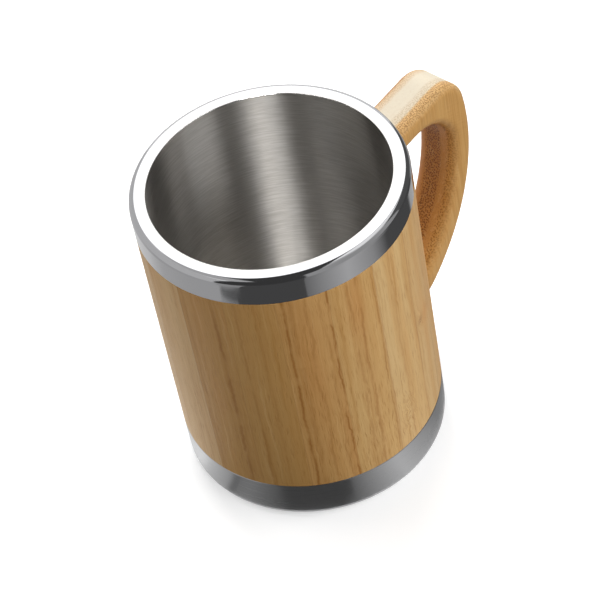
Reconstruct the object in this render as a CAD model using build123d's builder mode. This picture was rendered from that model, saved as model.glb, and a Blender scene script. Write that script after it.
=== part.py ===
from build123d import *

import os

# A bamboo mug: a double steel wall inside a sleeve of bamboo staves, held between a polished rim collar
# and a satin base band, with a laminated bamboo handle screwed on from inside the sleeve.
# Millimetres. The origin is on the axis, on the surface that the mug stands on. +Z is up, and the handle
# is towards +X.

# Steel walls
mouth_radius = 36.7  # inside of the liner
liner_sheet = 0.5
floor_round = 9.0  # inside corner between the liner's wall and floor
lip_round = 0.2  # inside edge of the mouth
wall_gap = 1.0  # air between the two walls
outer_sheet = 0.5
floor_gap = 4.0  # air below the liner
pan_sheet = 0.5
pan_rim = 3.0  # upturned edge of the pan that closes the outer wall
pan_round = 1.4
pan_lift = 1.0  # from the base plate to the pan

# Bamboo sleeve
sleeve_wall = 3.2
sleeve_height = 83.1  # between the two steel bands
sleeve_fit = 0.1  # glue space round the outer wall
sleeve_edge = 0.25  # rounded edges where the bamboo meets the steel
stave_count = 17

# Rim collar
collar_height = 9.2
collar_sheet = 0.8
collar_round = 2.0  # outside edge of the rim
collar_hem = 0.3  # lower edge of the collar
collar_fit = 0.1  # between the collar's skirt and the bamboo inside it
spigot_round = 0.9  # upper edge of the bamboo inside the collar

# Base
band_height = 14.4
band_sheet = 0.8
band_round = 2.6  # lower edge of the base
band_shoulder = 0.4  # upper edge, where the sleeve sits
band_fit = 0.1  # round the outer wall
foot_ledge = 5.5  # width of the band's flat foot, from its outside
plate_sheet = 0.8
plate_fit = 0.1
pad_proud = 0.5  # the mug stands on the pad
pad_fit = 0.3
pad_bevel = 0.3

# Seals
upper_seal_width = 1.2
upper_seal_height = 1.2
lower_seal_width = 1.1
lower_seal_height = 1.2

# Handle, measured out from the sleeve and from the sleeve's two ends
arm_drop = 8.7  # from the collar to the top of the upper arm
arm_rise = 4.5  # climb of the upper arm to its corner
upper_corner_out = 34.3
lower_arm_lift = 0.6  # from the base band to the underside of the lower arm
lower_corner_out = 8.4
back_bulge = 13.9  # depth of the arc between the two corners
handle_depth = 8.5  # thickness of the band, seen from the side
upper_corner_round = 11.0
lower_corner_round = 16.7
grip_upper_round = 14.0
grip_lower_round = 14.0
core_ply = 6.0
cheek_ply = 5.0
edge_round = 2.6  # outer edges of the cheeks
grip_round = 3.5  # inner edges, where the fingers go
handle_glue = 0.05

# Countersunk wood screws
screw_length = 12.0
screw_radius = 1.75
screw_head_radius = 3.3
screw_head_rim = 0.3
screw_tip = 3.0
screw_sink = 0.25  # head face below the sleeve's curved inside
screw_fit = 0.05
recess_width = 0.8
recess_length = 3.6
recess_depth = 0.9

# Radii, from the mouth outwards
liner_radius = mouth_radius + liner_sheet
wall_bore = liner_radius + wall_gap
wall_radius = wall_bore + outer_sheet
sleeve_bore = wall_radius + sleeve_fit
body_radius = sleeve_bore + sleeve_wall
collar_bore = body_radius - collar_sheet
spigot_radius = collar_bore - collar_fit
foot_bore = body_radius - foot_ledge
band_bore = body_radius - band_sheet
shoulder_bore = wall_radius + band_fit

# Heights, from the floor upwards
band_bottom = pad_proud
plate_bottom = band_bottom + band_sheet
plate_top = plate_bottom + plate_sheet
pan_bottom = plate_top + pan_lift
pan_floor = pan_bottom + pan_sheet
liner_bottom = pan_floor + floor_gap
liner_floor = liner_bottom + liner_sheet
sleeve_bottom = band_bottom + band_height
sleeve_top = sleeve_bottom + sleeve_height
rim_top = sleeve_top + collar_height
rim_underside = rim_top - collar_sheet
spigot_top = rim_underside - upper_seal_height

# Corners of the handle's side, as distance from the axis and height
upper_arm = sleeve_top - arm_drop
upper_corner = (body_radius + upper_corner_out, upper_arm + arm_rise)
arm_slope = arm_rise / upper_corner_out
arm_at_axis = upper_arm - arm_slope * body_radius
lower_arm = sleeve_bottom + lower_arm_lift
lower_corner = (body_radius + lower_corner_out, lower_arm)

# Screws, along the middle of each arm
head_face = sleeve_bore + screw_sink
screw_end = head_face + screw_length
upper_screw = upper_arm + arm_slope * (screw_end - body_radius) / 2 - handle_depth / 2
lower_screw = lower_arm + handle_depth / 2
screw_heights = (upper_screw, lower_screw)


def profile(points, rounds):
    """Draws a closed profile of radii and heights in the open sketch, and rounds the corners in rounds."""
    with BuildLine() as outline:
        Polyline(*points, close=True)
    make_face(outline.edges())
    for corner, radius in rounds.items():
        fillet(vertices().sort_by_distance((*corner, 0))[0], radius)


def write(piece, name):
    """Names a finished piece and writes its file."""
    piece.label = name
    export_step(piece, f"parts/{name}.step")


os.makedirs("parts", exist_ok=True)


# Liner: the drawn cup that holds the drink
with BuildPart() as inner_cup:
    inner_corner = (mouth_radius, liner_floor)
    outer_corner = (liner_radius, liner_bottom)
    lip = (mouth_radius, rim_top)
    with BuildSketch(Plane.XZ):
        profile(
            [
                (0, liner_floor),
                inner_corner,
                lip,
                (liner_radius, rim_top),
                outer_corner,
                (0, liner_bottom),
            ],
            {inner_corner: floor_round, outer_corner: floor_round + liner_sheet, lip: lip_round},
        )
    revolve(axis=Axis.Z)
write(inner_cup.part, "inner_cup")


# Outer wall: the tube that stands on the base plate and carries the sleeve
with BuildPart() as outer_wall:
    with BuildSketch(Plane.XY.offset(plate_top)):
        Circle(wall_radius)
        Circle(wall_bore, mode=Mode.SUBTRACT)
    extrude(amount=rim_underside - plate_top)
write(outer_wall.part, "outer_wall")


# Wall bottom: a shallow pan pressed into the lower end of the outer wall
with BuildPart() as wall_bottom:
    pan_edge = pan_bottom + pan_rim
    pan_bore = wall_bore - pan_sheet
    outer_corner = (wall_bore, pan_bottom)
    inner_corner = (pan_bore, pan_floor)
    with BuildSketch(Plane.XZ):
        profile(
            [
                (0, pan_bottom),
                outer_corner,
                (wall_bore, pan_edge),
                (pan_bore, pan_edge),
                inner_corner,
                (0, pan_floor),
            ],
            {outer_corner: pan_round, inner_corner: pan_round - pan_sheet},
        )
    revolve(axis=Axis.Z)
write(wall_bottom.part, "wall_bottom")


# Rim collar: a flat lip round the liner, with a skirt over the top of the sleeve
with BuildPart() as rim_collar:
    rim_edge = (body_radius, rim_top)
    hem = (body_radius, sleeve_top)
    inner_corner = (collar_bore, rim_underside)
    with BuildSketch(Plane.XZ):
        profile(
            [
                (liner_radius, rim_top),
                rim_edge,
                hem,
                (collar_bore, sleeve_top),
                inner_corner,
                (liner_radius, rim_underside),
            ],
            {rim_edge: collar_round, hem: collar_hem, inner_corner: collar_round - collar_sheet},
        )
    revolve(axis=Axis.Z)
write(rim_collar.part, "rim_collar")


# Base band: a hollow ring with a shoulder for the sleeve and a flat foot
with BuildPart() as base_band:
    shoulder_underside = sleeve_bottom - band_sheet
    foot_edge = (body_radius, band_bottom)
    shoulder = (body_radius, sleeve_bottom)
    inner_corner = (band_bore, plate_bottom)
    with BuildSketch(Plane.XZ):
        profile(
            [
                (foot_bore, band_bottom),
                foot_edge,
                shoulder,
                (shoulder_bore, sleeve_bottom),
                (shoulder_bore, shoulder_underside),
                (band_bore, shoulder_underside),
                inner_corner,
                (foot_bore, plate_bottom),
            ],
            {foot_edge: band_round, shoulder: band_shoulder, inner_corner: band_round - band_sheet},
        )
    revolve(axis=Axis.Z)
write(base_band.part, "base_band")


# Base plate: the disc on the band's foot, under both walls
with BuildPart() as base_plate:
    with BuildSketch(Plane.XY.offset(plate_bottom)):
        Circle(body_radius - band_round - plate_fit)
    extrude(amount=plate_sheet)
write(base_plate.part, "base_plate")


# Foot pad: the soft disc under the base plate
with BuildPart() as foot_pad:
    with BuildSketch(Plane.XY):
        Circle(foot_bore - pad_fit)
    extrude(amount=plate_bottom)
    chamfer(foot_pad.edges().group_by(Axis.Z)[0], pad_bevel)
write(foot_pad.part, "foot_pad")


# Seals: rings that keep water out of the two ends of the sleeve
with BuildPart() as upper_seal:
    with BuildSketch(Plane.XY.offset(spigot_top)):
        Circle(sleeve_bore + upper_seal_width)
        Circle(sleeve_bore, mode=Mode.SUBTRACT)
    extrude(amount=upper_seal_height)
write(upper_seal.part, "upper_seal")

with BuildPart() as lower_seal:
    with BuildSketch(Plane.XY.offset(sleeve_bottom)):
        Circle(sleeve_bore + lower_seal_width)
        Circle(sleeve_bore, mode=Mode.SUBTRACT)
    extrude(amount=lower_seal_height)
write(lower_seal.part, "lower_seal")


def screw_body(height, fit, entry):
    """A turned screw along +X, grown by a fit, with its head carried back to the entry."""
    head = screw_head_radius + fit
    shank = screw_radius + fit
    head_edge = head_face + screw_head_rim
    neck = head_edge + screw_head_radius - screw_radius
    tip = screw_end + fit
    with BuildPart() as body:
        with BuildSketch(Plane.XZ):
            with BuildLine():
                Polyline(
                    (entry, height),
                    (entry, height + head),
                    (head_edge, height + head),
                    (neck, height + shank),
                    (tip - screw_tip, height + shank),
                    (tip, height),
                    close=True,
                )
            make_face()
        revolve(axis=Axis((0, 0, height), (1, 0, 0)))
    return body.part


def wood_screw(height):
    """One screw at a height, with a cross cut in its head."""
    with BuildPart() as screw:
        add(screw_body(height, 0, head_face))
        with BuildSketch(Plane.YZ.offset(head_face)):
            with Locations((0, height)):
                Rectangle(recess_length, recess_width)
                Rectangle(recess_width, recess_length)
        extrude(amount=recess_depth, mode=Mode.SUBTRACT)
    return screw.part


# Handle screws: driven outwards through the sleeve into the core of the handle
write(Compound(children=[wood_screw(height) for height in screw_heights]), "handle_screws")


def stave(number):
    """One strip of the sleeve, with a rebate for the lower seal and a spigot inside the collar.

    Number 0 faces the handle, and the screws go through it.
    """
    stave_angle = 360 / stave_count
    lower_edge = (body_radius, sleeve_bottom)
    upper_edge = (body_radius, sleeve_top)
    spigot_edge = (spigot_radius, spigot_top)
    rebate_top = sleeve_bottom + lower_seal_height
    rebate_radius = sleeve_bore + lower_seal_width
    with BuildPart() as strip:
        with BuildSketch(Plane.XZ.rotated((0, 0, (number - 0.5) * stave_angle))):
            profile(
                [
                    (rebate_radius, sleeve_bottom),
                    lower_edge,
                    upper_edge,
                    (spigot_radius, sleeve_top),
                    spigot_edge,
                    (sleeve_bore, spigot_top),
                    (sleeve_bore, rebate_top),
                    (rebate_radius, rebate_top),
                ],
                {lower_edge: sleeve_edge, upper_edge: sleeve_edge, spigot_edge: spigot_round},
            )
        revolve(axis=Axis.Z, revolution_arc=stave_angle)
        if number == 0:
            for height in screw_heights:
                add(screw_body(height, screw_fit, wall_radius), mode=Mode.SUBTRACT)
    return strip.part


# Sleeve: staves glued edge to edge into a tube
write(Compound(children=[stave(number) for number in range(stave_count)]), "sleeve_staves")


def handle_side(inset, upper_round, lower_round):
    """The side of the handle back to the mug's axis, drawn in by an inset, with both corners rounded."""
    with BuildSketch() as side:
        with BuildLine():
            Polyline(upper_corner, (0, arm_at_axis), (0, lower_arm), lower_corner)
            SagittaArc(lower_corner, upper_corner, -back_bulge)
        make_face()
        if inset:
            offset(amount=-inset, kind=Kind.INTERSECTION, mode=Mode.REPLACE)
        fillet(side.vertices().sort_by(Axis.X)[-2], lower_round)
        fillet(side.vertices().sort_by(Axis.X)[-1], upper_round)
    return side.sketch


def handle_section():
    """Draws the band of the handle in the open sketch."""
    add(handle_side(0, upper_corner_round, lower_corner_round))
    add(handle_side(handle_depth, grip_upper_round, grip_lower_round), mode=Mode.SUBTRACT)


def fit_to_sleeve():
    """Cuts the open part back to the round of the sleeve, less the glue."""
    Cylinder(
        body_radius + handle_glue,
        rim_top,
        align=(Align.CENTER, Align.CENTER, Align.MIN),
        mode=Mode.SUBTRACT,
    )


# Handle: three plies glued side by side, of which the core takes the screws
with BuildPart() as handle_core:
    with BuildSketch(Plane.XZ):
        handle_section()
    extrude(amount=core_ply / 2, both=True)
    fit_to_sleeve()
    for height in screw_heights:
        add(screw_body(height, screw_fit, wall_radius), mode=Mode.SUBTRACT)
write(handle_core.part, "handle_core")

with BuildPart() as right_cheek:
    with BuildSketch(Plane.XZ.offset(core_ply / 2)):
        handle_section()
    extrude(amount=cheek_ply)
    fillet(right_cheek.faces().sort_by(Axis.Y)[0].outer_wire().edges(), edge_round)
    fillet(right_cheek.faces().sort_by(Axis.Y)[0].inner_wires()[0].edges(), grip_round)
    fit_to_sleeve()
write(right_cheek.part, "handle_right_cheek")

with BuildPart() as left_cheek:
    mirror(right_cheek.part, about=Plane.XZ)
write(left_cheek.part, "handle_left_cheek")
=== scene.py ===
import math

import bmesh
import bpy
from mathutils import Matrix, Vector

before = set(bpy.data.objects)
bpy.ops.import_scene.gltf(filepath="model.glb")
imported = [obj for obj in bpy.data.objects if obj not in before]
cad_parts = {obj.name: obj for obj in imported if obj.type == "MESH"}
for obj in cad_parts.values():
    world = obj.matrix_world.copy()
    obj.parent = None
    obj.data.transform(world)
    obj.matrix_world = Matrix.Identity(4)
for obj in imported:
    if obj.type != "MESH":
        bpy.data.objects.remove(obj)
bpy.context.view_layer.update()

# Sizes of the mug that the finishes follow, in millimetres
body_radius = 42.0
stave_count = 17
stave_width = 2 * math.pi * body_radius / stave_count
handle_width = 16.0
mouth_radius = 36.7
rim_height = 107.2
lip_round = 0.2
lip_height = rim_height - lip_round
collar_round = 2.0

# Tone of each strip of the sleeve, from the one left of the seam behind it round to the one right of it. The
# strips that face the right softbox, the fifth and sixth, are lighter and yellower: partly a painted sheen of it.
# Every tone is given as it shows on a screen, from 0 to 255.
stave_tones_and_sheen = [
    (189, 145, 86), (190, 147, 88), (199, 155, 97), (198, 160, 103), (203, 170, 119), (200, 167, 118),
    (200, 158, 100), (196, 152, 94), (202, 161, 104), (196, 152, 95), (203, 162, 106), (198, 155, 98),
    (204, 165, 110), (200, 157, 100), (194, 149, 91), (204, 171, 124), (202, 168, 118),
]
# Tones that are laid over the strips
sleeve_tones = {
    "band": (186, 138, 78), "blush": (192, 134, 74), "dark_streak": (170, 122, 60), "pale_streak": (216, 178, 122),
    "fine_fibre": (160, 112, 50), "dark_fleck": (164, 112, 48), "pale_fleck": (222, 186, 124),
    "pore": (146, 96, 40), "glue_line": (150, 102, 54), "dark_fibre": (148, 95, 38), "knot": (140, 92, 42),
}
# Dark fibres: azimuth in degrees, width in millimetres, strength and sideways wander in millimetres
sleeve_lines = [
    (-163.8, 0.9, 0.6, 2.0), (-154, 0.6, 0.3, 1.6), (-146, 0.6, 0.2, 1.6), (-134.9, 0.65, 0.75, 1.6),
    (-131.8, 1.2, 0.3, 2.0), (-117.2, 0.5, 0.8, 2.6), (-126, 0.7, 0.35, 3.0), (-120, 0.6, 0.3, 3.0),
    (-108, 0.7, 0.4, 2.4), (-104, 0.7, 0.5, 2.0), (-96, 0.4, 0.55, 1.2), (-94.7, 0.3, 0.3, 1.2),
    (-86, 0.6, 0.25, 2.4), (-74.5, 0.5, 0.3, 1.8), (-178, 0.8, 0.3, 1.8), (-60, 0.6, 0.3, 1.8),
    (-30, 0.7, 0.8, 2.4), (24, 0.6, 0.5, 2.0), (52, 0.7, 0.9, 3.0), (86, 0.6, 0.5, 2.0), (112, 0.7, 0.9, 2.6),
    (141, 0.6, 0.5, 2.0),
]
# Knots in the grain: azimuth in degrees, height, width and length in millimetres, and turn in radians
sleeve_knots = [(-70, 57, 2.2, 2.6, 2.0), (38, 64, 3.0, 4.0, 1.7), (106, 30, 2.6, 3.2, -1.8)]
# Burls, where the fibres break into short curls: azimuth in degrees, height, width and length in millimetres
sleeve_burls = [(-88.5, 29, 4.0, 9.0), (16, 58, 4.0, 8.0), (128, 36, 4.0, 9.0)]
# Where the fibres are short and wavy: azimuth in degrees, height, width and length in millimetres
sleeve_figures = [(-108, 32, 16, 28), (-88.5, 29, 7, 14), (20, 50, 14, 30), (130, 60, 16, 30)]
# Redder wood: azimuth in degrees, height, width and length in millimetres
sleeve_blushes = [(-64, 56, 4.0, 5.0), (-128, 70, 4.0, 30.0), (-105, 88, 3.0, 14.0), (60, 30, 4.0, 20.0)]

# Tones of the handle across its plies, from its right side at -8 to its left side at 8, and how strongly its
# fibres show as dots: first on the bow round the fingers, then on the upper arm
# On the bow the darker, redder middle plies and their strong dots are partly painted shade and bounced light of
# the grip.
bow_tones_and_shade = [
    (-8, (196, 152, 92)), (-6.5, (192, 146, 84)), (-4.2, (182, 132, 72)), (-2.2, (170, 119, 62)),
    (-1.2, (158, 107, 52)), (3.4, (156, 104, 50)), (4.6, (172, 116, 62)), (7.2, (168, 112, 62)),
    (8, (194, 148, 88)),
]
bow_dots_and_shade = [
    (-8, 0.0), (-7, 0.25), (-5, 0.65), (-3.8, 0.12), (-2.2, 0.2), (-1.4, 1.0), (3.4, 1.0), (4.6, 0.1), (8, 0.0),
]
# On the arm the pale cream middle, with no dots, is partly a painted sheen of the lamp on its top.
arm_tones_and_sheen = [
    (-8, (196, 152, 92)), (-7.4, (200, 161, 106)), (-4.4, (200, 161, 106)), (-3.6, (200, 187, 162)),
    (-1.8, (200, 187, 164)), (-1.0, (203, 193, 173)), (3.6, (203, 193, 173)), (4.4, (201, 183, 156)),
    (6.2, (203, 175, 138)), (7, (172, 120, 74)),
]
arm_dots_and_sheen = [
    (-8, 0.1), (-7.2, 0.45), (-5.8, 0.7), (-4.4, 0.6), (-3.6, 0.3), (-1.8, 0.25), (-1.0, 0.0), (3.6, 0.0),
    (4.4, 0.2), (6.2, 0.4), (7, 0.7),
]
# Between these heights, in millimetres, the bow becomes the arm
arm_heights = (80, 88)
# The arm's top is plain inside the first distance from its middle, and grained outside the second; the plain
# middle is partly a painted sheen that washes out the grain
arm_sheen_top = (5.5, 7.5)
# Tones that are laid over the plies
handle_tones = {
    "patch": (180, 124, 62), "dark_streak": (168, 118, 58), "pale_streak": (212, 176, 120),
    "fine_fibre": (156, 108, 50), "fibre_end": (104, 60, 14),
}

# Tones of the steel and the rubber
steel_tones = {
    "brushed_dark": (178, 175, 170), "brushed_light": (196, 193, 189), "lip": (200, 198, 196),
    "polished": (192, 192, 194), "satin": (176, 176, 177), "plain": (170, 170, 170), "screws": (180, 176, 160),
}
rubber_tones = {"dark": (34, 34, 36), "light": (46, 46, 48)}

# Least and most roughness of each finish, and the depth of its relief in metres
wood_roughness = (0.38, 0.5)
brushed_roughness = (0.26, 0.38)
lip_roughness = 0.16
polished_roughness = (0.06, 0.1)
satin_roughness = (0.24, 0.34)
screw_roughness = (0.3, 0.45)
plain_roughness = (0.35, 0.5)
rubber_roughness = (0.6, 0.7)
wood_relief = 0.00005
brush_relief = 0.000005
rubber_relief = 0.00002
# A quarter turn lays the brush strokes round the mug
brush_turn = 0.25

# The photograph's view: the camera stands on the side away from the handle and is tipped a little
view_azimuth = math.radians(-40)
view_elevation = math.radians(46.28)
view_roll = math.radians(-11.57)
view_place = Vector((-0.32786, -0.39373, 0.58975))
view_lens = 143.89
view_sensor = 36.0
view_nearest = 0.01
view_farthest = 20


def paint(red, green, blue):
    """A colour given as it shows on a screen, from 0 to 255, for a socket."""
    parts = [part / 255 for part in (red, green, blue)]
    return tuple(p / 12.92 if p <= 0.04045 else ((p + 0.055) / 1.055) ** 2.4 for p in parts) + (1.0,)


def grey(level):
    """A grey given as light, from 0 to 1 for white, for a socket."""
    return (level, level, level, 1.0)


class Value:
    """A socket of a finish. Arithmetic on it adds Math nodes."""

    def __init__(self, finish, socket):
        self.finish = finish
        self.socket = socket

    def math(self, operation, *terms):
        return self.finish.node("ShaderNodeMath", {"operation": operation}, dict(enumerate(terms)))

    def __add__(self, other):
        return self.math("ADD", self, other)

    def __radd__(self, other):
        return self.math("ADD", other, self)

    def __sub__(self, other):
        return self.math("SUBTRACT", self, other)

    def __rsub__(self, other):
        return self.math("SUBTRACT", other, self)

    def __mul__(self, other):
        return self.math("MULTIPLY", self, other)

    def __rmul__(self, other):
        return self.math("MULTIPLY", other, self)

    def __truediv__(self, other):
        return self.math("DIVIDE", self, other)

    def __rtruediv__(self, other):
        return self.math("DIVIDE", other, self)

    def __abs__(self):
        return self.math("ABSOLUTE", self)

    def floor(self):
        return self.math("FLOOR", self)

    def larger(self, other):
        return self.math("MAXIMUM", self, other)

    def smaller(self, other):
        return self.math("MINIMUM", self, other)

    def rise(self, low, high):
        """0 below low, 1 above high, and a smooth step between them."""
        return self.finish.node(
            "ShaderNodeMapRange",
            {"interpolation_type": "SMOOTHSTEP"},
            {"Value": self, "From Min": low, "From Max": high},
        )

    def fall(self, low, high):
        """1 below low, 0 above high, and a smooth step between them."""
        return 1 - self.rise(low, high)

    def between(self, low, high):
        """Low where the value is 0, high where it is 1."""
        return self * (high - low) + low

    def swing(self, width):
        """Noise as a swing to both sides, so wide in all."""
        return (self - 0.5) * width


class Finish:
    """The node tree of a material or of the world."""

    def __init__(self, owner):
        self.owner = owner
        owner.use_nodes = True
        self.tree = owner.node_tree
        self.tree.nodes.clear()

    def node(self, kind, settings=None, inputs=None, output=0):
        made = self.tree.nodes.new(kind)
        for name, value in (settings or {}).items():
            if name == "stops":
                self.set_stops(made.color_ramp, value)
            else:
                setattr(made, name, value)
        for key, value in (inputs or {}).items():
            if isinstance(value, Value):
                self.tree.links.new(value.socket, made.inputs[key])
            else:
                made.inputs[key].default_value = value
        return Value(self, made.outputs[output]) if made.outputs else made

    def set_stops(self, ramp, stops):
        while len(ramp.elements) < len(stops):
            ramp.elements.new(1.0)
        for element, (place, colour) in zip(ramp.elements, stops):
            element.position = place
            element.color = colour

    def ramp(self, value, stops):
        """A colour that follows a value, given the places and colours of its stops."""
        return self.node("ShaderNodeValToRGB", {"stops": stops}, {0: value})

    def blend(self, factor, first, second):
        """First colour where the factor is 0, second where it is 1."""
        return self.node("ShaderNodeMix", {"data_type": "RGBA"}, {0: factor, 6: first, 7: second}, 2)

    def tint(self, colour, mask, strength, tone):
        """Lays a tone over a colour where the mask is 1, as strongly as said."""
        return self.blend(mask * strength, colour, paint(*tone))

    def place(self):
        """Object coordinates in millimetres, as three values."""
        spot = self.node("ShaderNodeTexCoord", output="Object")
        return [self.node("ShaderNodeSeparateXYZ", None, {0: spot}, axis) * 1000 for axis in range(3)]

    def point(self, x, y, z):
        return self.node("ShaderNodeCombineXYZ", None, {0: x, 1: y, 2: z})

    def grain(self, ways, often, detail=2.0, roughness=0.5):
        """Noise, given how often it changes along each of three ways."""
        spot = self.point(*[way * times for way, times in zip(ways, often)])
        return self.node(
            "ShaderNodeTexNoise",
            None,
            {"Vector": spot, "Scale": 1.0, "Detail": detail, "Roughness": roughness},
        )

    def ripple(self, way, detail=2.0, roughness=0.5):
        """Noise along one value."""
        return self.node(
            "ShaderNodeTexNoise",
            {"noise_dimensions": "1D"},
            {"W": way, "Scale": 1.0, "Detail": detail, "Roughness": roughness},
        )

    def cells(self, across, along, scale=1.0):
        """How far it is to the nearest of many scattered points on a plane."""
        return self.node(
            "ShaderNodeTexVoronoi",
            {"voronoi_dimensions": "2D"},
            {"Vector": self.point(across, along, 0.0), "Scale": scale},
        )

    def bump(self, height, depth, normal=None):
        """Relief of that depth, in metres."""
        inputs = {"Distance": depth, "Height": height}
        if normal:
            inputs["Normal"] = normal
        return self.node("ShaderNodeBump", None, inputs)

    def surface(self, inputs):
        self.show(self.node("ShaderNodeBsdfPrincipled", None, inputs))

    def show(self, shader, kind="ShaderNodeOutputMaterial"):
        self.node(kind, None, {"Surface": shader})


def new_finish(name):
    return Finish(bpy.data.materials.new(name))


def from_axis(x, y):
    """How far a place is from the mug's axis."""
    return x.math("SQRT", x * x + y * y)


# Sleeve bamboo: strips with upright fibres, each strip with its own tone, with a painted sheen on those that face
# the right softbox
def beside(around, azimuth):
    """How far a place round the sleeve is from an azimuth, in millimetres."""
    return around - math.radians(azimuth) * body_radius


def line_at(wood, around, z, azimuth, width, wander, seed):
    """A dark fibre up the sleeve at one azimuth, with warm wood beside it: 1 on it, 0 away from it."""
    bend = wood.ripple(z * 0.05 + seed, detail=3.0, roughness=0.6).swing(wander)
    shiver = wood.ripple(z * 0.45 + seed).swing(0.45)
    fade = wood.ripple(z * 0.08 + seed + 9.0, detail=3.0).rise(0.3, 0.55).between(0.35, 1)
    off = abs(beside(around, azimuth) + bend + shiver)
    core = off.fall(width * 0.1, width)
    halo = off.fall(0.0, width * 4)
    return (core * 0.75 + halo * 0.25) * fade


def spot_at(around, z, azimuth, height, width, length):
    """1 in the middle of a spot on the sleeve, fading to 0 round it."""
    sideways = beside(around, azimuth) / width
    upwards = (z - height) / length
    reach = sideways * sideways + upwards * upwards
    return reach.math("EXPONENT", reach * -1)


def knot_at(around, z, azimuth, height, width, length, turn):
    """How far a knot moves the fibres sideways: they turn about its middle."""
    across = beside(around, azimuth)
    angle = spot_at(around, z, azimuth, height, width, length) * turn
    return across * (angle.math("COSINE", angle) - 1) - (z - height) * angle.math("SINE", angle)


def sleeve_bamboo():
    wood = new_finish("sleeve_bamboo")
    x, y, z = wood.place()
    azimuth = x.math("ARCTAN2", y, x)
    around = azimuth * body_radius
    turn = azimuth * (stave_count / (2 * math.pi)) + 0.5
    number = turn.floor()
    across = (turn - number - 0.5) * stave_width
    edge = stave_width / 2 - abs(across)
    # fibres wander along the strip, turn where a knot of the cane was, and curl in a burl; how often the noise
    # changes with the strip's number only makes the strips differ
    strip = (across, z, number)
    slow = wood.grain(strip, (0.1, 0.03, 5.1)).swing(2.6)
    quick = wood.grain(strip, (0.4, 0.2, 2.9), detail=3.0).swing(1.1)
    fibre = across + slow + quick
    for knot in sleeve_knots:
        fibre = fibre + knot_at(around, z, *knot)
    curl = wood.grain(strip, (0.4, 0.4, 7.3)).swing(6.0)
    for burl in sleeve_burls:
        fibre = fibre + spot_at(around, z, *burl) * curl
    # how wavy and how red the wood is
    faint_figure, burl_figure, faint_blush = 0.6, 0.8, 0.5
    figure = wood.grain(strip, (0.15, 0.03, 1.7)).rise(0.45, 0.7) * faint_figure
    for patch in sleeve_figures:
        figure = figure.larger(spot_at(around, z, *patch))
    for burl in sleeve_burls:
        figure = figure + spot_at(around, z, *burl) * burl_figure
    blush = wood.grain(strip, (0.2, 0.025, 8.3)).rise(0.5, 0.75) * faint_blush
    for patch in sleeve_blushes:
        blush = blush.larger(spot_at(around, z, *patch))
    # the grain itself, from broad bands to pores, drawn out along the fibres
    fibres = (fibre, z, number)
    band = wood.grain(fibres, (0.2, 0.008, 3.7), detail=1.0)
    streak = wood.grain(fibres, (1.0, 0.02, 9.1), detail=3.0, roughness=0.6)
    fine = wood.grain(fibres, (4.5, 0.08, 2.3), detail=3.0, roughness=0.6)
    fleck = wood.grain(fibres, (1.9, 0.13, 6.1), detail=3.0, roughness=0.65)
    pores = wood.cells(fibre * 1.4 + number * 13.7, z * 0.13)
    dashes = pores.fall(0.1, 0.32) * fleck.rise(0.4, 0.6)
    # the strips' tones, lighter on those that face the right softbox as a painted sheen
    colour = wood.ramp(
        (number + stave_count // 2 + 0.5) / stave_count,
        [((index + 0.5) / stave_count, paint(*tone)) for index, tone in enumerate(stave_tones_and_sheen)],
    )
    colour = wood.tint(colour, band.rise(0.3, 0.75), 0.5, sleeve_tones["band"])
    colour = wood.tint(colour, blush, 0.45, sleeve_tones["blush"])
    colour = wood.tint(colour, streak.rise(0.5, 0.8), 0.5, sleeve_tones["dark_streak"])
    colour = wood.tint(colour, streak.fall(0.2, 0.48), 0.4, sleeve_tones["pale_streak"])
    colour = wood.tint(colour, fine.rise(0.5, 0.8), 0.35, sleeve_tones["fine_fibre"])
    colour = wood.tint(colour, fleck.rise(0.5, 0.66) * figure, 0.25, sleeve_tones["dark_fleck"])
    colour = wood.tint(colour, fleck.fall(0.32, 0.48) * figure, 0.25, sleeve_tones["pale_fleck"])
    colour = wood.tint(colour, dashes, figure.between(0.22, 0.47), sleeve_tones["pore"])
    colour = wood.tint(colour, edge.fall(0.0, 0.3), 0.25, sleeve_tones["glue_line"])
    for index, (place, width, strength, wander) in enumerate(sleeve_lines):
        line = line_at(wood, around, z, place, width, wander, seed=index * 53.7)
        colour = wood.tint(colour, line, strength, sleeve_tones["dark_fibre"])
    for place, height, width, length, _ in sleeve_knots:
        heart = spot_at(around, z, place, height, width * 0.8, length * 0.7)
        colour = wood.tint(colour, heart * fleck.rise(0.4, 0.6), 0.7, sleeve_tones["knot"])
    wood.surface({
        "Base Color": colour,
        "Roughness": fine.between(*wood_roughness),
        "Normal": wood.bump(fine + streak - dashes * 0.5, wood_relief),
        "Specular IOR Level": 0.15,
    })
    return wood


# Handle bamboo: upright fibres through the whole piece, whose cut ends show as dots
def across_plies(wood, y, stops):
    """A colour that goes from the right side of the handle to its left side."""
    half = handle_width / 2
    stops = [((place + half) / handle_width, colour) for place, colour in stops]
    return wood.ramp((y + half) / handle_width, stops)


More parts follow.
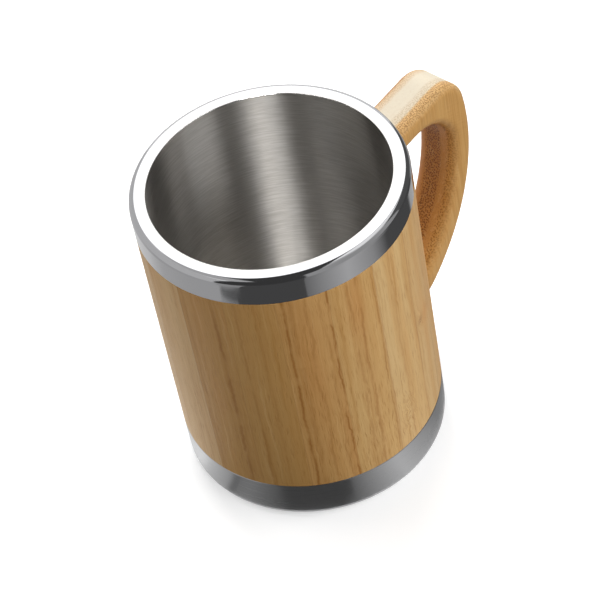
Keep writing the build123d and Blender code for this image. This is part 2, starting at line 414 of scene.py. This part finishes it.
def handle_bamboo():
    wood = new_finish("handle_bamboo")
    place = wood.place()
    x, y, z = place
    sway = wood.grain(place, (0.06, 0.06, 0.03)).swing(1.0)
    layer = y + sway * 1.2 + wood.grain(place, (0.4, 0.4, 0.1)).swing(0.9)
    arm = z.rise(*arm_heights)
    # the bow's tones and dots are partly painted shade of the grip round the fingers
    colour = wood.blend(
        arm,
        across_plies(wood, layer, [(side, paint(*tone)) for side, tone in bow_tones_and_shade]),
        across_plies(wood, layer, [(side, paint(*tone)) for side, tone in arm_tones_and_sheen]),
    )
    dotted = wood.blend(
        arm,
        across_plies(wood, layer, [(side, grey(level)) for side, level in bow_dots_and_shade]),
        across_plies(wood, layer, [(side, grey(level)) for side, level in arm_dots_and_sheen]),
    )
    # the ends of the fibres, seen from above on the arm and from the mug's side on the bow
    bow_cells = wood.cells(y + sway, (z + x * 0.4) * 0.8, scale=1.5)
    arm_cells = wood.cells(x + sway, y + sway * 0.7, scale=1.85)
    dots = (bow_cells * (1 - arm) + arm_cells * arm).fall(0.2, 0.46)
    streak = wood.grain(place, (1.1, 0.7, 0.02), detail=4.0, roughness=0.65)
    fine = wood.grain(place, (4.0, 4.0, 0.08), detail=3.0)
    patch = wood.grain(place, (0.07, 0.05, 0.035))
    # the grain fades in the middle of the arm's top: partly a painted sheen
    grained = 1 - arm * abs(y).fall(*arm_sheen_top) * 0.8
    colour = wood.tint(colour, patch.rise(0.5, 0.68) * (1 - arm), 0.5, handle_tones["patch"])
    colour = wood.tint(colour, streak.rise(0.46, 0.72) * grained, 0.5, handle_tones["dark_streak"])
    colour = wood.tint(colour, streak.fall(0.25, 0.48) * grained, 0.35, handle_tones["pale_streak"])
    colour = wood.tint(colour, fine.rise(0.5, 0.8) * grained, 0.45, handle_tones["fine_fibre"])
    colour = wood.tint(colour, dots, dotted, handle_tones["fibre_end"])
    wood.surface({
        "Base Color": colour,
        "Roughness": fine.between(*wood_roughness),
        "Normal": wood.bump(fine + streak - dots * dotted, wood_relief),
        "Specular IOR Level": 0.3,
    })
    return wood


# Steel: brushed inside the cup, polished on the collar, satin on the base, plain where it is hidden
def turned_edge(steel, x, y, out, up, share):
    """The way that a turned edge faces, exact between the faces of its mesh, where share is 1.

    Out and up are how far the surface is from the centre of the edge's round.
    """
    radius = from_axis(x, y)
    exact = steel.node(
        "ShaderNodeVectorMath",
        {"operation": "NORMALIZE"},
        {0: steel.point(x * out / radius, y * out / radius, up)},
    )
    meshed = steel.node("ShaderNodeNewGeometry", output="Normal")
    return steel.node("ShaderNodeMix", {"data_type": "VECTOR"}, {0: share, 4: meshed, 5: exact}, 1)


def brushed_steel():
    """Brushed round the wall, with a polished lip."""
    steel = new_finish("brushed_steel")
    place = steel.place()
    x, y, z = place
    lines = steel.grain(place, (0.12, 0.12, 2.5), detail=3.0, roughness=0.6)
    lip = z.rise(lip_height - lip_round / 2, lip_height)
    out = (from_axis(x, y) - mouth_radius - lip_round).smaller(0)
    up = (z - lip_height).larger(0)
    edge = turned_edge(steel, x, y, out, up, lip)
    dark, light = paint(*steel_tones["brushed_dark"]), paint(*steel_tones["brushed_light"])
    brushed = steel.blend(lines.rise(0.3, 0.7), dark, light)
    steel.surface({
        "Base Color": steel.blend(lip, brushed, paint(*steel_tones["lip"])),
        "Metallic": 1.0,
        "Roughness": lines.between(*brushed_roughness) * (1 - lip) + lip * lip_roughness,
        "Anisotropic": 1.0,
        "Anisotropic Rotation": brush_turn,
        "Normal": steel.bump(lines * (1 - lip), brush_relief, edge),
    })
    return steel


def polished_steel():
    steel = new_finish("polished_steel")
    place = steel.place()
    x, y, z = place
    haze = steel.grain(place, (0.3, 0.3, 0.3))
    out = (from_axis(x, y) - body_radius + collar_round).larger(0)
    up = (z - rim_height + collar_round).larger(0)
    outside = (out * out + up * up).rise((collar_round * 0.8) ** 2, (collar_round * 0.9) ** 2)
    steel.surface({
        "Base Color": paint(*steel_tones["polished"]),
        "Metallic": 1.0,
        "Roughness": haze.between(*polished_roughness),
        "Normal": turned_edge(steel, x, y, out, up, outside),
    })
    return steel


def satin_steel():
    steel = new_finish("satin_steel")
    lines = steel.grain(steel.place(), (0.03, 0.03, 8.0), detail=3.0)
    steel.surface({
        "Base Color": paint(*steel_tones["satin"]),
        "Metallic": 1.0,
        "Roughness": lines.between(*satin_roughness),
        "Anisotropic": 0.5,
        "Anisotropic Rotation": brush_turn,
        "Normal": steel.bump(lines, brush_relief),
    })
    return steel


def plain_steel(name, tone, roughness):
    steel = new_finish(name)
    cloud = steel.grain(steel.place(), (0.2, 0.2, 0.2), detail=4.0)
    steel.surface({"Base Color": paint(*tone), "Metallic": 1.0, "Roughness": cloud.between(*roughness)})
    return steel


# Rubber of the seals and the pad
def silicone():
    rubber = new_finish("silicone")
    speckle = rubber.grain(rubber.place(), (4.0, 4.0, 4.0), detail=3.0)
    rubber.surface({
        "Base Color": rubber.blend(speckle, paint(*rubber_tones["dark"]), paint(*rubber_tones["light"])),
        "Roughness": speckle.between(*rubber_roughness),
        "Normal": rubber.bump(speckle, rubber_relief),
    })
    return rubber


# Each finish goes on its CAD nodes
dressing = [
    (brushed_steel(), ["inner_cup"]),
    (polished_steel(), ["rim_collar"]),
    (sleeve_bamboo(), ["sleeve_staves"]),
    (plain_steel("screw_steel", steel_tones["screws"], screw_roughness), ["handle_screws"]),
    (satin_steel(), ["base_band", "base_plate"]),
    (plain_steel("plain_steel", steel_tones["plain"], plain_roughness), ["outer_wall", "wall_bottom"]),
    (silicone(), ["foot_pad", "upper_seal", "lower_seal"]),
    (handle_bamboo(), ["handle_core", "handle_left_cheek", "handle_right_cheek"]),
]
for finish, nodes in dressing:
    for node in nodes:
        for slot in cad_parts[node].material_slots:
            slot.material = finish.owner

# Studio: a white floor, white surroundings and softboxes, with grey mats and cards that only the mug sees.
# Levels of light, where 1 is white:
surroundings_light = 0.4
floor_grey = 0.5
floor_white = 0.8
floor_glow = 0.38
far_floor_glow = 0.4
# How far from the mug the floor's glow grows, in millimetres
far_floor = (400, 1200)
# Sizes in metres
mug_middle = Vector((0, 0, 0.05))
floor_size = 6.0
floor_drop = 0.0001
near_radii = (0.0435, 0.105)
far_radii = (0.105, 0.4)
outer_radii = (0.4, 1.7)
mat_height = 0.0002
mat_sides = 96
card_height = 0.0004
panel_distance = 1.5
# Greys of the mats: azimuth in degrees, and level
near_greys = [
    (-180, 0.3), (-173, 0.33), (-159, 0.18), (-150, 0.08), (-125, 0.08), (-105, 0.56), (-92, 0.9), (-77, 0.64),
    (-57, 0.34), (0, 0.45), (40, 0.6), (100, 0.9), (140, 1.1), (154, 1.25), (161, 0.85), (168, 0.68),
    (174, 0.55), (177, 0.22),
]
far_greys = [
    (-180, 0.44), (-150, 0.3), (-122, 0.2), (-110, 0.36), (-88, 0.62), (-65, 0.4), (-50, 0.1), (-12, 0.08),
    (-8, 0.45), (40, 0.6), (80, 0.7), (112, 0.7), (130, 0.55), (158, 0.52), (172, 0.52),
]
# Corners of the dark card on the floor, in millimetres
front_corners = [
    (-43.3, -21.3), (-30, -33), (-24, -42), (-69, -120), (-690, -1200), (-1222, -445), (-138.1, -37),
    (-139.9, -4.9), (-138, 0), (-135.9, -4.7), (-131.1, -27.9),
]
# Corners of the cards overhead, in metres from the mug's axis: back from the camera, and to its right
ceiling_corners = [(1.2, -1.2), (1.7, 0), (1.2, 1.2), (-1.2, 1.2), (-1.7, 0), (-1.2, -1.2)]
right_ceiling_corners = [(1.2, 0.35), (1.2, 1.3), (-0.2, 1.3), (-0.2, 0.45)]
ceiling_strip_corners = [(1.2, -0.3), (1.2, 0.3), (-1.8, 0.8), (-1.8, -0.8)]
# What some cards and lamps light alone
inside = ["inner_cup"]
outside = [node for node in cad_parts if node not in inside]


def seen_directly(finish):
    """1 for rays from the camera, off metal and through glass, 0 for the rest."""
    kinds = ("Is Camera Ray", "Is Glossy Ray", "Is Transmission Ray")
    rays = [finish.node("ShaderNodeLightPath", output=kind) for kind in kinds]
    return rays[0].larger(rays[1]).larger(rays[2])


def white_surroundings():
    world = bpy.data.worlds.new("surroundings")
    bpy.context.scene.world = world
    sky = Finish(world)
    strength = seen_directly(sky).between(surroundings_light, 1)
    shader = sky.node("ShaderNodeBackground", None, {"Color": grey(1.0), "Strength": strength})
    sky.show(shader, "ShaderNodeOutputWorld")


def studio_piece(name, shape, finish):
    """Turns a finished bmesh into a piece of the studio."""
    mesh = bpy.data.meshes.new(name)
    shape.to_mesh(mesh)
    shape.free()
    piece = bpy.data.objects.new(name, mesh)
    piece.data.materials.append(finish.owner)
    bpy.context.scene.collection.objects.link(piece)
    return piece


def show_face(finish, shader):
    """A shader on the face of the floor, a mat or a card, and nothing on its back."""
    clear = finish.node("ShaderNodeBsdfTransparent")
    back = finish.node("ShaderNodeNewGeometry", output="Backfacing")
    finish.show(finish.node("ShaderNodeMixShader", None, {0: back, 1: shader, 2: clear}))


def white_floor():
    white = new_finish("floor_white")
    seen = seen_directly(white)
    matte = white.node("ShaderNodeBsdfDiffuse", None, {"Color": seen.between(floor_grey, floor_white)})
    x, y, _ = white.place()
    far = from_axis(x, y).rise(*far_floor)
    glow = white.node("ShaderNodeEmission", None, {"Strength": seen * (far * far_floor_glow + floor_glow)})
    show_face(white, white.node("ShaderNodeAddShader", None, {0: matte, 1: glow}))
    shape = bmesh.new()
    bmesh.ops.create_grid(shape, x_segments=1, y_segments=1, size=floor_size / 2)
    bmesh.ops.translate(shape, vec=(0, 0, -floor_drop), verts=shape.verts)
    studio_piece("floor", shape, white)


def hide_from_camera(piece, lights_matte):
    """Leaves a piece in reflections alone, or in those and in the light on matte surfaces."""
    piece.visible_camera = False
    piece.visible_shadow = False
    piece.visible_diffuse = lights_matte


def grey_mat(name, radii, greys, lights_matte):
    """A ring on the floor round the mug that the steel mirrors, with its greys going round it."""
    mat = new_finish(name)
    x, y, _ = mat.place()
    round_axis = x.math("ARCTAN2", y, x) / (2 * math.pi) + 0.5
    tone = mat.ramp(round_axis, [((azimuth + 180) / 360, grey(level)) for azimuth, level in greys])
    show_face(mat, mat.node("ShaderNodeEmission", None, {"Color": tone}))
    shape = bmesh.new()
    for radius in radii:
        bmesh.ops.create_circle(shape, segments=mat_sides, radius=radius)
    bmesh.ops.bridge_loops(shape, edges=shape.edges)
    bmesh.ops.recalc_face_normals(shape, faces=shape.faces)
    bmesh.ops.translate(shape, vec=(0, 0, mat_height), verts=shape.verts)
    for face in shape.faces:
        if face.normal.z < 0:
            face.normal_flip()
    hide_from_camera(studio_piece(name, shape, mat), lights_matte)


def light_only(piece, nodes):
    """Lets a lamp or a card light those CAD nodes alone."""
    lit = bpy.data.collections.new(piece.name)
    for node in nodes:
        lit.objects.link(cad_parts[node])
    piece.light_linking.receiver_collection = lit


def studio_card(name, level, corners, lit=None):
    """A flat card in the studio that faces the mug, and lights all of it or some CAD nodes alone."""
    card = new_finish(name)
    show_face(card, card.node("ShaderNodeEmission", None, {"Color": grey(level)}))
    shape = bmesh.new()
    face = shape.faces.new([shape.verts.new(corner) for corner in corners])
    face.normal_update()
    if face.normal.dot(mug_middle - face.calc_center_median()) < 0:
        face.normal_flip()
    piece = studio_piece(name, shape, card)
    hide_from_camera(piece, False)
    if lit:
        light_only(piece, lit)


def on_floor(corners):
    """Corners of a card on the floor, from millimetres."""
    return [(x / 1000, y / 1000, card_height) for x, y in corners]


def upright(azimuth, spread, low, high):
    """Corners of a standing card, with so many degrees to each side of its middle's azimuth."""
    ends = [math.radians(azimuth + side * spread) for side in (-1, 1)]
    foot = [Vector((math.cos(end) * panel_distance, math.sin(end) * panel_distance, low)) for end in ends]
    head = [Vector((corner.x, corner.y, high)) for corner in foot]
    return [foot[0], foot[1], head[1], head[0]]


def overhead(height, corners):
    """Corners of a flat card over the mug, turned to the camera."""
    back = Vector((-math.sin(view_azimuth), math.cos(view_azimuth), 0))
    right = Vector((math.cos(view_azimuth), math.sin(view_azimuth), 0))
    return [back * along + right * sideways + Vector((0, 0, height)) for along, sideways in corners]


def towards(azimuth, elevation):
    """The way from the mug to a lamp or the camera, given in radians."""
    level = math.cos(elevation)
    return Vector((math.sin(azimuth) * level, -math.cos(azimuth) * level, math.sin(elevation)))


def softbox(name, azimuth, elevation, distance, width, height, power, lit=None):
    """A soft lamp. It lights the wood and isn't mirrored, or it lights some CAD nodes alone."""
    lamp = bpy.data.lights.new(name, "AREA")
    lamp.shape = "RECTANGLE"
    lamp.size = width
    lamp.size_y = height
    lamp.energy = power
    box = bpy.data.objects.new(name, lamp)
    away = towards(math.radians(azimuth), math.radians(elevation))
    turn = away.to_track_quat("Z", "Y").to_matrix().to_4x4()
    box.matrix_world = Matrix.Translation(away * distance + mug_middle) @ turn
    box.visible_camera = False
    box.visible_glossy = lit is not None
    if lit:
        light_only(box, lit)
    bpy.context.scene.collection.objects.link(box)


def camera():
    back = towards(view_azimuth, view_elevation)
    level = Vector((math.cos(view_azimuth), math.sin(view_azimuth), 0))
    rising = back.cross(level)
    across = level * math.cos(view_roll) + rising * math.sin(view_roll)
    along = rising * math.cos(view_roll) - level * math.sin(view_roll)
    lens = bpy.data.cameras.new("camera")
    lens.lens = view_lens
    lens.sensor_width = view_sensor
    lens.sensor_fit = "HORIZONTAL"
    lens.clip_start = view_nearest
    lens.clip_end = view_farthest
    stand = bpy.data.objects.new("camera", lens)
    stand.matrix_world = Matrix.Translation(view_place) @ Matrix((across, along, back)).transposed().to_4x4()
    bpy.context.scene.collection.objects.link(stand)
    bpy.context.scene.camera = stand


white_surroundings()
white_floor()
grey_mat("near_mat", near_radii, near_greys, True)
grey_mat("far_mat", far_radii, far_greys, True)
grey_mat("outer_mat", outer_radii, far_greys, False)
studio_card("front_card", 0.09, on_floor(front_corners))
studio_card("front_panel", 0.06, upright(azimuth=-150, spread=32, low=0.0, high=2.6))
studio_card("left_panel", 0.7, upright(azimuth=124, spread=54, low=0.0, high=1.5), outside)
studio_card("right_panel", 0.45, upright(azimuth=-77, spread=41, low=0.0, high=1.6))
studio_card("right_dark_panel", 0.12, upright(azimuth=-7.5, spread=28.5, low=0.0, high=1.6))
studio_card("ceiling_card", 0.6, overhead(2.05, ceiling_corners))
studio_card("right_ceiling_card", 1.3, overhead(2.03, right_ceiling_corners))
studio_card("ceiling_strip", 0.06, overhead(2.0, ceiling_strip_corners))
studio_card("back_card", 2.3, upright(azimuth=44, spread=21, low=0.95, high=2.0))
softbox("back_softbox", azimuth=140, elevation=45, distance=1.3, width=0.8, height=0.7, power=14.8)
softbox("right_softbox", azimuth=25, elevation=32, distance=1.2, width=1.2, height=1.2, power=12.5)
softbox("left_softbox", azimuth=-160, elevation=25, distance=1.3, width=0.7, height=0.7, power=5)
softbox("cup_front_softbox", -47.2, 54, distance=1.2, width=0.44, height=0.4, power=19.5, lit=inside)
softbox("cup_right_softbox", 13, 25, distance=1.2, width=0.66, height=0.46, power=6.8, lit=inside)
softbox("cup_left_softbox", -107, 52, distance=1.2, width=0.5, height=0.4, power=3.5, lit=inside)
camera()
bpy.context.scene.view_settings.view_transform = "Standard"
